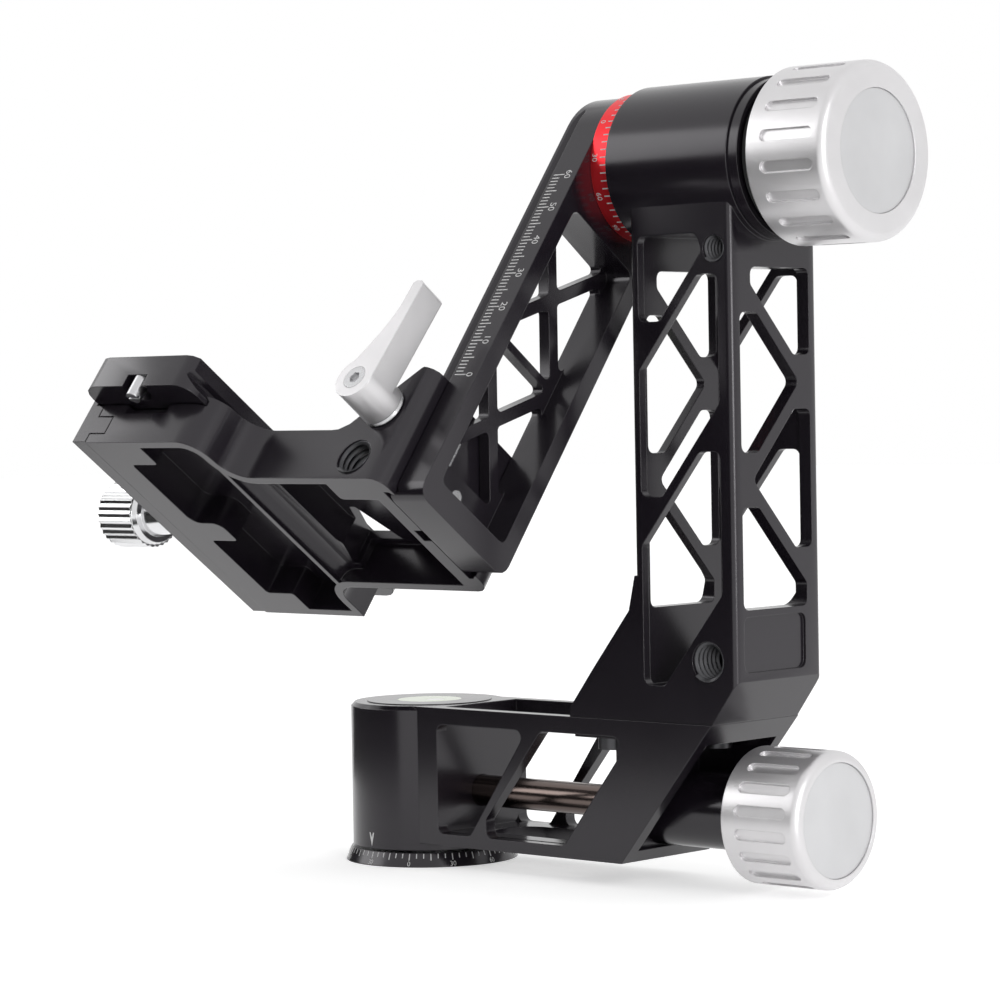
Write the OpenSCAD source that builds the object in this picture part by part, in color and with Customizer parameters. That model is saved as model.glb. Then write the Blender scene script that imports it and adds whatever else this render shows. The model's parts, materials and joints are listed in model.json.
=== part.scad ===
// Gimbal head for long lenses: a panning arm and upright, a swing arm that hangs from the tilt
// axle, and a sliding platform with a quick-release clamp. Millimetres, +Z up. The origin is the
// centre of the base ring's underside, and +X runs along the tilt axle towards the knobs.

/* [Fits] */
// Radial gap of a shaft that turns or slides in its bore
run_gap = 0.05; // [0.02:0.01:0.1]
// Gap between faces that move past each other
face_gap = 0.3; // [0.2:0.05:0.6]
// Gap beside the rings and collars on the tilt axle
ring_gap = 0.4; // [0.3:0.05:0.8]

/* [Base] */
// Index ring radius at its foot
ring_r = 22.4; // [21:0.1:27]
// Index ring radius at its top
ring_top_r = 20.9; // [19:0.1:25]
// Index ring height
ring_h = 3.5; // [3:0.1:5]
// Radius of the spindle flange inside the ring
flange_r = 15; // [13:0.5:18]
// Thickness of the spindle flange
flange_h = 2.4; // [1.5:0.1:3]
// Spindle radius
spindle_r = 8; // [7:0.5:9]
// Tripod thread radius
socket_r = 4.76; // [3:0.01:5]
// Tripod thread depth
socket_depth = 14; // [10:1:16]
// Retaining washer radius
washer_r = 10; // [9:0.5:11]
// Retaining washer thickness
washer_t = 1.5; // [1:0.1:2]
// Retaining screw shank radius
top_screw_r = 2.5; // [2:0.1:3]
// Retaining screw head height
top_screw_head = 2.5; // [2:0.1:3]
// Retaining screw shank length in the spindle
top_screw_len = 10; // [6:1:12]

/* [Pan hub] */
// Hub radius
hub_r = 20.5; // [19:0.1:26]
// Gap between the ring and the hub
hub_gap = 0.6; // [0.4:0.1:1]
// Height of the hub and arm top above the ring's underside
pan_top = 41; // [40:0.5:48]
// Chamfer of the hub's top edge
hub_edge = 1; // [0.5:0.1:1.5]
// Pan bearing outer radius
pan_bearing_r = 13; // [12:0.5:14]
// Pan bearing height
pan_bearing_h = 7; // [5:0.5:7]
// Lower bearing's height above the hub's bottom face
lower_set = 0.9; // [0.5:0.1:2]
// Upper bearing's top below the arm top
upper_set = 9; // [8:0.5:10]
// Bore of the shoulder between the bearings
shoulder_r = 11.5; // [10:0.5:12]
// Level cap radius
cap_r = 16.2; // [15:0.1:17.5]
// Level cap thickness
cap_t = 2.7; // [2:0.1:3.2]
// Depth of the cap's seat
cap_seat = 2.5; // [2:0.1:3]
// Bubble vial radius
vial_r = 8.4; // [6:0.1:10]
// Bubble vial depth in the cap
vial_t = 1.7; // [1:0.1:2]
// Bubble radius
bubble_r = 2.2; // [1.5:0.1:3]
// Bubble thickness
bubble_t = 0.6; // [0.4:0.1:0.8]

/* [Pan arm] */
// Half width of the pan arm
arm_half = 16.8; // [15:0.1:19]
// Height of the arm's bottom face
arm_z0 = 6; // [5:0.1:8]
// Side wall thickness
arm_wall = 3.4; // [2.5:0.1:5]
// Floor thickness
arm_floor = 3.1; // [2.5:0.1:3.2]
// Roof thickness under the upright
arm_roof = 5.2; // [4:0.1:6]
// Hub wall left between the bearing bore and the arm's hollow
hub_wall = 5.4; // [4:0.1:7]
// Side window sill above the arm's bottom face
sill = 3; // [2:0.1:5]
// Side window head below the arm top
head = 4.2; // [3:0.1:6]
// First side window's length along its sill
win1_foot = 11; // [8:0.5:13]
// First side window's length along its head
win1_head = 30.8; // [26:0.1:32]
// Brace width at its foot
brace_foot = 5.6; // [4:0.1:7]
// Brace width at its head
brace_head = 4.6; // [3:0.1:6]
// Upright part of the second window's near edge
win2_rise = 4.8; // [3:0.1:7]
// Second window's far corner from the arm's end, at the sill
win2_end = 18.5; // [14:0.5:20]
// Lean of the second window's far edge
win2_lean = 18.3; // [14:0.1:20]
// Corner radius of the truss windows
win_r = 2; // [1:0.1:2.5]
// Lean of the arm's cut end
end_lean = 28.7; // [20:0.1:32]
// Thickness of the cross wall that holds the clamp tube
cross_t = 4; // [3:0.5:5]
// Length of the slot in the floor
floor_slot = 35; // [25:1:38]
// Half width of the slot in the floor
floor_slot_half = 8; // [6:0.5:10]
// Start of the floor slot past the hub wall
floor_slot_set = 6.6; // [4:0.1:8]

/* [Pan clamp] */
// Height of the clamp rod's axis
rod_z = 18.5; // [18.3:0.1:19]
// Clamp rod radius
rod_r = 4; // [3:0.1:4.5]
// Brake shoe length
shoe_len = 7.7; // [6:0.1:9]
// Clamp tube radius
tube_r = 9.25; // [7:0.05:9.3]
// Clamp tube spigot radius in the cross wall
tube_spigot_r = 7; // [6:0.1:7.5]
// Pan knob radius
pan_knob_r = 16.5; // [14:0.1:19]
// Pan knob length
pan_knob_len = 22.9; // [16:0.1:26]
// Pan knob's start beyond the top of the arm's cut end
pan_knob_set = 1.6; // [1:0.1:6]
// Pan knob cap radius
pan_cap_r = 13.7; // [8:0.1:14.2]

/* [Upright] */
// Distance from the pan axis to the upright's inner face
reach = 84.8; // [80:0.1:100]
// Depth of the upright along the tilt axis
up_depth = 31; // [28:0.1:34]
// Half width of the upright
up_half = 16.4; // [15:0.1:16.8]
// Inner side wall thickness
up_wall_in = 2.4; // [2:0.1:4]
// Outer side wall thickness
up_wall_out = 3.5; // [2.5:0.1:4]
// Front and rear wall thickness
up_wall = 2.3; // [2:0.1:4]
// Corner radius of the upright
up_edge = 1.5; // [0.5:0.1:2]
// Foot's length beyond the inner face
foot_in = 21.5; // [15:0.5:24]
// Foot's set-back from the outer face
foot_out = 7.6; // [4:0.1:10]
// Height of the outer foot chamfer
foot_rise = 10.4; // [6:0.1:14]
// Floor above the foot's face
foot_floor = 8.8; // [8:0.1:14]
// Height of the flare above the foot's face
flare_rise = 35; // [30:1:44]
// Frame width beside the front windows, inner side
frame_in = 2.6; // [2.4:0.1:5]
// Frame width beside the front windows, outer side
frame_out = 3.9; // [3.5:0.1:6]
// Roof between the hollow and the housing bore
up_roof = 3.5; // [2.5:0.1:5]
// Slope of the front braces, rise over run
front_slope = 1.235; // [1:0.01:1.4]
// Front brace thickness
front_brace = 2.3; // [1.5:0.1:3.5]
// Flat sill beside each front brace
front_flat = 6.4; // [4:0.1:8]
// Lower front window's share of the truss height
low_share = 0.52; // [0.46:0.01:0.54]
// Middle front window's share of the truss height
mid_share = 0.49; // [0.46:0.01:0.52]
// Half width of the side windows
side_half = 13.3; // [11:0.1:13.6]
// Side truss bottom above the foot's face
side_low = 27.2; // [24:0.1:34]
// Side truss top below the tilt axis
side_high = 25.7; // [24:0.1:30]
// Half height of a side window as a share of the truss height
side_share = 0.205; // [0.17:0.005:0.22]
// Flat sill beside each side brace
side_flat = 6.3; // [4:0.1:8]
// Side brace thickness
side_brace = 3; // [2:0.1:4]
// Gap between a side window's point and the far frame
side_tip = 4.2; // [3:0.1:6]
// Depth of the blank recess on the outer face
panel_t = 0.8; // [0.4:0.1:1.5]
// Height of the blank recess
panel_h = 13.2; // [8:0.1:16]
// Height of that panel above the foot's slope
panel_set = 2; // [1:0.1:3]
// Far side of that panel short of the windows' edge
panel_short = 3; // [2:0.1:5]
// Small accessory thread radius
small_thread_r = 3.175; // [2.5:0.005:3.5]
// Large accessory thread radius
large_thread_r = 4.76; // [4:0.01:5]
// Accessory thread depth
thread_depth = 12; // [8:0.5:16]
// Small accessory thread below the tilt axis
small_thread_drop = 21.3; // [20.5:0.1:24]
// Small accessory thread from the outer face
small_thread_set = 5.1; // [4.2:0.1:6]
// Large accessory thread above the foot's face
large_thread_rise = 15; // [12:0.1:18]
// Large accessory thread from the outer face
large_thread_set = 8.6; // [7:0.1:9]
// Joining screw shank radius
join_r = 2.5; // [2:0.1:3]
// Joining screw head radius
join_head_r = 4; // [3.5:0.1:4.5]
// Joining screw head height
join_head = 3; // [2:0.1:4]
// Joining screw length in the upright
join_len = 6; // [4:0.5:7]
// Half spacing of the joining screws across the arm
join_half = 8; // [6:0.5:8.5]
// Distance of the inner joining screws from the foot's end
join_in = 7.2; // [6.5:0.1:8]
// Distance of the outer joining screws from the cross wall
join_out = 10; // [6:0.5:12]

/* [Tilt housing] */
// Height of the tilt axis
tilt_z = 174.8; // [160:0.2:200]
// Tilt housing radius
housing_r = 19.5; // [18:0.1:21]
// Housing's reach past the upright's inner face
housing_in = 4.4; // [2:0.1:8]
// Housing's reach past the upright's outer face
housing_out = 1.5; // [0.5:0.1:4]
// Tilt bearing outer radius
tilt_bearing_r = 14; // [12:0.5:15]
// Tilt bearing length
tilt_bearing_h = 8; // [6:0.5:9]
// Inset of the tilt bearings from the housing's ends
tilt_bearing_set = 2; // [1:0.1:3]
// End ring radius
end_ring_r = 19; // [17:0.1:19.5]
// End ring thickness
end_ring_t = 2.9; // [2:0.1:4]
// End ring bore radius
end_ring_bore = 9.5; // [9:0.1:11]
// Tilt axle radius
axle_r = 8; // [7:0.5:9]
// Friction washer radius
collar_r = 17.5; // [14:0.1:18.5]
// Friction washer thickness
collar_t = 3; // [2:0.1:5]
// Tilt knob radius
tilt_knob_r = 21.1; // [18:0.1:24]
// Tilt knob length
tilt_knob_len = 22.9; // [17:0.1:26]
// Tilt knob cap radius
tilt_cap_r = 14.5; // [9:0.1:17]

/* [Knob details] */
// Number of grip grooves on each knob
grooves = 18; // [12:1:18]
// Groove width
groove_w = 2.7; // [2:0.1:3.8]
// Groove depth
groove_t = 0.8; // [0.5:0.1:1.5]
// Distance from the knob's back to its grooves
groove_back = 4.3; // [3:0.1:5]
// Distance from the knob's front to its grooves
groove_front = 3.6; // [2.8:0.1:5]
// Chamfer of a knob's back edge
knob_edge = 0.6; // [0.3:0.1:1.2]
// Rounding of a knob's front edge
knob_round = 2.2; // [1.5:0.1:3]
// Thickness of a knob's cap disc
disc_t = 2; // [1:0.1:2.5]
// Recess of a knob's cap disc
disc_sunk = 0.4; // [0.2:0.1:0.8]

/* [Swing arm] */
// Angle of the swing arm from hanging straight down, as photographed
swing_angle = 37; // [0:1:60]
// Half width of the swing arm and its rail
swing_half = 17.5; // [16:0.1:18.5]
// Thickness of the swing arm, rail included
swing_t = 10.8; // [9:0.1:14]
// Length from the tilt axis to the arm's end
swing_len = 109.6; // [104:0.1:125]
// Corner radius of the arm's end
swing_corner = 3.5; // [2:0.1:5]
// Thickness of the rail lip
lip_t = 1; // [0.8:0.1:1.4]
// Depth of the rail's side grooves
rail_in = 1; // [0.8:0.1:1.2]
// Height of the groove's straight floor
rail_floor = 0.8; // [0.7:0.1:1.2]
// Rim width of the arm's pocket
rim_w = 4.5; // [3.5:0.1:6]
// Web thickness behind the pocket
web_t = 3.2; // [3:0.1:4]
// Solid end below the pocket
tail_w = 6.5; // [5:0.5:10]
// Solid band between the pocket and the lower cell
tail_land = 9.1; // [8:0.1:12]
// Pocket's start below the tilt axis
pocket_drop = 22.9; // [20:0.1:26]
// Number of cross-braced cells
cells = 2; // [2:1:3]
// Width of a bar between cells
cell_bar = 2; // [2:0.1:5]
// Cross brace thickness
cross_brace = 3.1; // [2:0.1:4]
// Corner radius of the cell windows
cell_r = 1.2; // [0.5:0.1:1.5]
// Scale ring radius
scale_r = 18.2; // [17.2:0.1:19]
// Scale ring width
scale_w = 5.4; // [4:0.1:8]
// Radius of the boss that carries the scale ring
boss_r = 13; // [11:0.5:14]
// Boss length short of the scale ring's width
boss_short = 1; // [0.5:0.1:1.5]
// Axle flange radius
axle_flange_r = 12; // [11:0.5:13]
// Axle flange thickness
axle_flange_t = 3; // [2:0.1:4]
// Axle screw radius
axle_screw_r = 1.5; // [1:0.1:1.6]
// Axle screw circle radius
axle_screw_ring = 10; // [9.8:0.1:10.2]
// Axle screw length
axle_screw_len = 7; // [5:0.5:7]
// Rail stop pin radius
stop_pin_r = 1.8; // [1:0.1:2]
// Rail stop pin's height above the arm's end
stop_pin_rise = 11; // [9.5:0.1:12]
// Rail stop pin's reach out of the rail
stop_pin_out = 2.5; // [2:0.1:3]

/* [Platform] */
// Platform thickness
block_h = 13.9; // [12:0.1:18]
// Half width of the platform's neck
neck_half = 23.3; // [22:0.1:27]
// Height of the column above the platform
column_rise = 18.2; // [14:0.1:24]
// Length of the column's top
column_top = 3.5; // [3:0.1:6]
// Length of the column's sloping edge
column_run = 14.9; // [10:0.1:20]
// Height of the hollow curve at the column's foot
column_foot = 1.7; // [1:0.1:3]
// Length of that curve
foot_run = 5; // [3:0.1:6]
// Radius of the column's outer corners
column_round = 4; // [3:0.1:4.2]
// Thickness of the column's back wall
back_t = 4.1; // [3.5:0.1:5]
// Thickness of the platform's side walls
skirt_t = 2.4; // [2:0.1:3.5]
// Thickness of the top skin over the deep pocket
skin_t = 2.4; // [2:0.1:4]
// Depth of the pocket under the clamp bed
bed_pocket = 8.4; // [5:0.1:8.5]
// Pocket's corner from the platform's jaw side
pocket_set = 8.6; // [6:0.1:10]
// Length of the screw boss beyond that corner
boss_len = 9.3; // [5:0.1:10]
// Half width of the clamp screw's boss
boss_half = 3.8; // [3.6:0.1:5]
// Length of the solid corner blocks at the clamp's ends
corner_len = 9.4; // [8.5:0.1:11]
// Length of the curved step beside that pocket
band_len = 7.5; // [6:0.1:9]
// Depth of that step
band_t = 4; // [3:0.1:5]
// Wall between the pocket and the step
bed_wall = 1.4; // [1:0.1:2]
// Length of the top opening
gap_len = 12.5; // [6:0.1:14]
// Width of the top opening across the platform
gap_width = 13.6; // [8:0.1:14]
// Near edge of the top opening from the platform's middle
gap_set = 5; // [3:0.1:6]
// Step from the neck's side out to the clamp's near end
step_near = 14.7; // [10:0.1:18]
// Step from the neck's side out to the clamp's far end
step_far = 13.3; // [10:0.1:18]
// Radius of the near side's double curve
curve_near = 7.35; // [5:0.05:9]
// Radius of the far side's hollow curve
curve_far = 6.65; // [4:0.05:9]
// Body's edge from the plate's centre line, on the jaw side
bed_jaw = 16.2; // [14:0.1:17]
// Depth of the clamp bed below the platform's top
bed_depth = 2.6; // [2:0.1:3.5]
// Body beyond the plate lip on the fixed jaw side
jaw_fixed = 3.55; // [3.2:0.05:6]
// Half length of the end notch for the stop screw
notch_half = 7.5; // [5:0.1:9]
// Depth of the end notch
notch_t = 2.1; // [1:0.1:2.3]
// Side thread's distance from the rail
side_thread_set = 9.1; // [8:0.1:12]
// Side thread's height above the underside
side_thread_rise = 6.2; // [6:0.1:8]
// Side thread's boss thickness
side_boss = 6.2; // [5:0.1:8]
// Side thread's boss edge from the thread's axis
side_boss_set = 7.5; // [6:0.1:11]

/* [Lever] */
// Lever axis from the rail
lever_set = 6.8; // [6:0.1:9]
// Lever axis above the platform's top
lever_rise = 6.1; // [5.8:0.1:8]
// Lever hub radius
lever_r = 5.5; // [4.5:0.1:5.7]
// Lever hub length
lever_hub = 12; // [9:0.1:15]
// Lever length from hub centre to tip centre
lever_len = 28.2; // [20:0.1:40]
// Lever width at its tip
lever_tip = 3.3; // [2.5:0.1:5]
// Share of the lever's length that its hollow edge takes
lever_hollow = 0.75; // [0.6:0.05:0.85]
// Chamfer of the lever's tip
lever_tip_round = 0.8; // [0.3:0.1:1.2]
// Lever blade thickness
lever_t = 7.9; // [6:0.1:9]
// Lean of the lever from the rail's direction
lever_lean = 3; // [0:1:20]
// Thickness of the washer behind the lever
lever_washer_t = 1; // [0.6:0.1:1.4]
// Lever stud radius
stud_r = 2; // [1.5:0.1:2.2]
// Lever stud's reach inside the platform
stud_in = 21; // [14:0.5:22]
// Lever screw head radius
lever_screw_r = 3; // [2:0.1:3.5]
// Lever screw head height
lever_screw_t = 2.2; // [1.5:0.1:3]
// Gib length across the rail
gib_len = 12; // [8:0.5:13]
// Gib's edge from the rail's middle
gib_set = 3; // [2.8:0.1:4]
// Gib height
gib_h = 10; // [6:0.5:12]

/* [Quick-release clamp] */
// Moving jaw thickness
jaw_t = 4.7; // [3.5:0.1:6]
// Moving jaw's gap above the underside
jaw_up = 0.3; // [0.2:0.1:0.6]
// Length of the jaw's corner tongues
tongue_len = 5.5; // [4:0.1:6]
// Height of the jaw's corner tongues
tongue_h = 4.8; // [4:0.1:5]
// Width of the jaw's corner tongues
tongue_w = 2.4; // [2:0.1:3]
// Height of the clamp screw's axis above the underside
screw_rise = 5.3; // [5.2:0.1:6]
// Clamp screw radius
qr_screw_r = 3; // [2:0.1:3.3]
// Clamp screw's depth in the platform
qr_screw_in = 15; // [10:0.5:16]
// Guide pin radius
guide_r = 1.8; // [1.5:0.1:2]
// Guide pin's distance from the clamp's end
guide_set = 6; // [5.5:0.1:6.5]
// Guide pin's depth in the platform
guide_in = 12; // [8:0.5:14]
// Clamp knob radius
qr_knob_r = 8.6; // [7:0.1:9]
// Clamp knob length
qr_knob_len = 13.4; // [9:0.1:16]
// Length of the knob's tapered boss
qr_boss_len = 6; // [4:0.1:7]
// Number of knurls on the clamp knob
knurls = 30; // [20:1:30]
// Depth of the knurls
knurl_t = 0.4; // [0.2:0.1:0.8]
// Length of the knob's plain rim
knob_rim = 1.4; // [0.8:0.1:2]
// Step of that rim in from the knurls' roots
knob_rim_set = 0.2; // [0.1:0.1:0.6]

/* [Lens plate] */
// Distance of the plate's centre line from the pan axis, towards the jaw
plate_off = 6.2; // [4:0.1:8]
// Half width of the plate's dovetail
plate_half = 19; // [18:0.1:20]
// Lens plate length
plate_len = 90; // [70:1:110]
// Offset of the plate's middle towards the near end
plate_shift = 0.2; // [0:0.1:1]
// Lens plate height
plate_h = 8.9; // [7:0.1:12]
// Thickness of the dovetail lip
plate_lip = 1.2; // [1:0.1:1.6]
// Depth of the dovetail's flank
plate_flank = 2.4; // [2:0.1:3]
// Half width of the plate's upper body
plate_body = 17.6; // [17:0.1:19]
// Corner radius of the plate
plate_corner = 5; // [3:0.1:6]
// Stop screw radius
stop_r = 1.9; // [1.5:0.1:2.2]
// Stop screw's distance from the plate's end
stop_set = 2; // [1.9:0.1:2.4]
// Stop screw's reach below the plate
stop_drop = 2.2; // [1.5:0.1:2.4]
// Radius of the relief round a stop screw
relief_r = 4; // [3:0.1:4.5]
// Depth of that relief
relief_t = 3.4; // [2.5:0.1:4]
// Half width of the slot for a camera screw
slot_w = 3.5; // [3.2:0.1:4]
// Half width of the slot's wider lower part
slot_low = 7; // [6:0.1:8]
// Depth of the slot's wider lower part
slot_t = 4.4; // [3:0.1:5]
// Half length of the slot
slot_half = 30; // [20:0.5:32]
// Rubber pad thickness
pad_t = 0.8; // [0.5:0.1:1.5]
// Rubber pad width
pad_w = 8; // [6:0.1:10]
// Rubber pad length
pad_len = 74; // [50:1:76]

/* [Output] */
// Node to draw

/* [Hidden] */
$fn = 64;

black = [0.1, 0.1, 0.11];
silver = [0.75, 0.75, 0.76];
steel = [0.6, 0.6, 0.62];
red = [0.7, 0.06, 0.08];
bronze = [0.45, 0.36, 0.28];
dark = [0.05, 0.05, 0.05];
over = 1;

hub_z0 = ring_h + hub_gap;
lower_z = hub_z0 + lower_set;
lower_top = lower_z + pan_bearing_h;
upper_top = pan_top - upper_set;
upper_z = upper_top - pan_bearing_h;
spindle_top = upper_top + face_gap;
collar_top = lower_z - face_gap;
spindle_collar_r = (spindle_r + shoulder_r) / 2;
vial_z = pan_top + cap_t - cap_seat - vial_t;

up_x0 = reach;
up_x1 = reach + up_depth;
foot_x0 = up_x0 - foot_in;
foot_x1 = up_x1 - foot_out;
arm_x1 = foot_x1 - end_lean;
floor_z = arm_z0 + arm_floor;
roof_z = pan_top - arm_roof;
hollow_x0 = pan_bearing_r + hub_wall;
cross_x1 = arm_x1;
cross_x0 = cross_x1 - cross_t;
sill_z = arm_z0 + sill;
head_z = pan_top - head;
pan_knob_x = foot_x1 + pan_knob_set;
shoe_x0 = spindle_r + face_gap;
shoe_x1 = shoe_x0 + shoe_len;

truss_x0 = up_x0 + frame_in;
truss_x1 = up_x1 - frame_out;
truss_z0 = pan_top + foot_floor;
truss_z1 = tilt_z - tilt_bearing_r - up_roof;
truss_h = truss_z1 - truss_z0;
truss_run = truss_x1 - truss_x0 - front_flat;
brace_step = front_brace * sqrt(1 + front_slope * front_slope) + front_flat * front_slope;
low_head = truss_z0 + low_share * truss_h;
mid_sill = low_head - truss_run * front_slope + brace_step;
mid_head = mid_sill + mid_share * truss_h;
top_sill = mid_head - truss_run * front_slope + brace_step;
boss_x = up_x1 - small_thread_set - small_thread_r - 1.3;

side_z0 = pan_top + side_low;
side_z1 = tilt_z - side_high;
side_h = side_z1 - side_z0;
side_rise = side_share * side_h;
side_run = 2 * side_half - side_flat - side_tip;
side_slope = side_rise / side_run;
side_gap = side_brace * sqrt(1 + side_slope * side_slope);
side_pitch = 2 * side_rise - side_slope * (2 * side_half - 2 * side_flat) + side_gap;
side_mid_a = side_z1 - 0.336 * side_h;
side_mid_b = side_mid_a - side_pitch;

housing_x0 = up_x0 - housing_in;
housing_x1 = up_x1 + housing_out;
bearing_in_x = housing_x0 + tilt_bearing_set;
bearing_out_x = housing_x1 - tilt_bearing_set - tilt_bearing_h;
end_ring_x1 = housing_x1 + end_ring_t;
collar_x0 = end_ring_x1 + ring_gap;
collar_x1 = collar_x0 + collar_t;
tilt_knob_x = collar_x1 + ring_gap;
axle_end = tilt_knob_x + tilt_knob_len - disc_t - disc_sunk - 2 * face_gap;

swing_u1 = housing_x0 - ring_gap - scale_w;
swing_u0 = swing_u1 - swing_t;
lip_u = swing_u0 + lip_t;
flank_u = lip_u + rail_in;
groove_u = flank_u + rail_floor;
groove_v = swing_half - rail_in;
web_u = swing_u0 + web_t;
pocket_half = swing_half - rim_w;
pocket_w1 = -pocket_drop;
pocket_w0 = -swing_len + tail_w;
cell_w0 = pocket_w0 + tail_land;
cell_h = (pocket_w1 - cell_w0 - (cells - 1) * cell_bar) / cells;
stop_pin_w = -swing_len + stop_pin_rise;

under_w = -swing_len;
top_w = under_w + block_h;
bed_w = top_w - bed_depth;
column_w = top_w + column_rise;
face_u = swing_u0 - face_gap;
column_u1 = groove_u - face_gap;
slot_v = swing_half + face_gap;
hook_v = groove_v + face_gap;
back_u = face_u - back_t;
plate_u = -plate_off;
fixed_u = plate_u + plate_half + face_gap;
clamp_u0 = plate_u - bed_jaw;
clamp_u1 = fixed_u + jaw_fixed;
clamp_near = neck_half + step_near;
clamp_far = neck_half + step_far;
near_r = min(curve_near, step_near / 2);
far_r = min(curve_far, step_far);
neck_u = clamp_u1 + near_r;
far_u = fixed_u + 0.1;
rim_r = qr_knob_r - knurl_t - knob_rim_set;
band_u1 = clamp_u1 + band_len;
wall_u = clamp_u1 - bed_wall;
flank_gap = face_gap * (sqrt(2) - 1);
pocket_u0 = clamp_u0 + pocket_set;
gap_u0 = neck_u - 2;
gusset_v = slot_v;
lever_u = swing_u0 - lever_set;
lever_w = top_w + lever_rise;
thread_u = swing_u0 - side_thread_set;
thread_w = under_w + side_thread_rise;

jaw_u1 = clamp_u0 - face_gap;
jaw_u0 = jaw_u1 - jaw_t;
jaw_lip_u = plate_u - plate_half - face_gap;
screw_w = under_w + screw_rise;
tongue_w0 = screw_w - tongue_h / 2;
knob_u1 = jaw_u0 - ring_gap;
knob_u0 = knob_u1 - qr_boss_len;
plate_w = bed_w + face_gap;
plate_top = plate_w + plate_h;
stop_v = plate_len / 2 - stop_set;

// Points of a corner at b, between a and c, rounded to radius r
function unit(v) = v / norm(v);
function corner(a, b, c, r, n) =
    let (
        p = unit(a - b),
        q = unit(c - b),
        half = acos(p * q) / 2,
        cut = r / tan(half),
        mid = b + unit(p + q) * (r / sin(half)),
        s = b + p * cut - mid,
        e = b + q * cut - mid,
        from = atan2(s[1], s[0]),
        turn = ((atan2(e[1], e[0]) - from + 3 * 180) % 360) - 180
    )
    [for (i = [0:n]) mid + r * [cos(from + turn * i / n), sin(from + turn * i / n)]];
function rounded(pts, r, n = 4) =
    let (k = len(pts))
    [for (i = [0:k - 1])
        each corner(pts[(i + k - 1) % k], pts[i], pts[(i + 1) % k], is_list(r) ? r[i] : r, n)];
function arc(c, r, a0, a1, n = 8) =
    [for (i = [0:n]) c + r * [cos(a0 + (a1 - a0) * i / n), sin(a0 + (a1 - a0) * i / n)]];

module swing_frame() {
    translate([0, 0, tilt_z])
        rotate([-swing_angle, 0, 0])
            children();
}

// Extrudes an X-Z outline along Y, centred
module along_y(half) {
    rotate([90, 0, 0])
        linear_extrude(2 * half, center = true)
            children();
}

// Extrudes a Y-Z outline along X
module along_x(x0, x1) {
    translate([x0, 0, 0])
        rotate([90, 0, 90])
            linear_extrude(x1 - x0)
                children();
}

// Extrudes an X-Y outline along Z
module along_z(z0, z1) {
    translate([0, 0, z0])
        linear_extrude(z1 - z0)
            children();
}

module rod_x(r, x0, x1) {
    translate([x0, 0, 0])
        rotate([0, 90, 0])
            cylinder(r = r, h = x1 - x0);
}

module rod_y(r, y0, y1) {
    translate([0, y1, 0])
        rotate([90, 0, 0])
            cylinder(r = r, h = y1 - y0);
}

module obround(len, w) {
    square([len - w, w], center = true);
    for (s = [-1, 1])
        translate([s * (len - w) / 2, 0])
            circle(r = w / 2, $fn = 24);
}

module ring(r, bore, z0, z1) {
    translate([0, 0, z0])
        difference() {
            cylinder(r = r, h = z1 - z0);
            translate([0, 0, -over])
                cylinder(r = bore, h = z1 - z0 + 2 * over);
        }
}

// Base

module base_ring() color(dark) difference() {
    cylinder(r1 = ring_r, r2 = ring_top_r, h = ring_h);
    translate([0, 0, -over])
        cylinder(r = flange_r + run_gap, h = flange_h + over);
    cylinder(r = shoulder_r, h = ring_h + over);
}

module spindle() color(steel) difference() {
    union() {
        cylinder(r = flange_r, h = flange_h);
        cylinder(r = spindle_collar_r, h = collar_top);
        cylinder(r = spindle_r, h = spindle_top);
    }
    translate([0, 0, -over])
        cylinder(r = socket_r, h = socket_depth + over);
    translate([0, 0, spindle_top - top_screw_len])
        cylinder(r = top_screw_r + run_gap, h = top_screw_len + over);
}

module spindle_washer() color(steel)
    ring(washer_r, top_screw_r + run_gap, spindle_top, spindle_top + washer_t);

module spindle_screw() color(dark) difference() {
    union() {
        translate([0, 0, spindle_top - top_screw_len])
            cylinder(r = top_screw_r, h = top_screw_len + washer_t);
        translate([0, 0, spindle_top + washer_t])
            cylinder(r = 1.7 * top_screw_r, h = top_screw_head);
    }
    translate([0, 0, spindle_top + washer_t + top_screw_head / 3])
        cylinder(r = 0.9 * top_screw_r, h = top_screw_head, $fn = 6);
}

// Pan body

module pan_side_windows() {
    x1 = hollow_x0 + win1_foot;
    x2 = hollow_x0 + win1_head;
    win1 = [[hollow_x0, sill_z], [x1, sill_z], [x2, head_z], [hollow_x0, head_z]];
    far = arm_x1 - win2_end;
    win2 = [
        [x1 + brace_foot, sill_z], [far, sill_z],
        [far + win2_lean, head_z - win2_rise], [far + win2_lean, head_z],
        [x2 + brace_head, head_z], [x1 + brace_foot, sill_z + win2_rise]
    ];
    for (s = [-1, 1])
        translate([0, s * (arm_half - arm_wall / 2 + over / 2), 0]) {
            along_y((arm_wall + over) / 2) polygon(rounded(win1, win_r));
            along_y((arm_wall + over) / 2) polygon(rounded(win2, win_r));
        }
}

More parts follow.
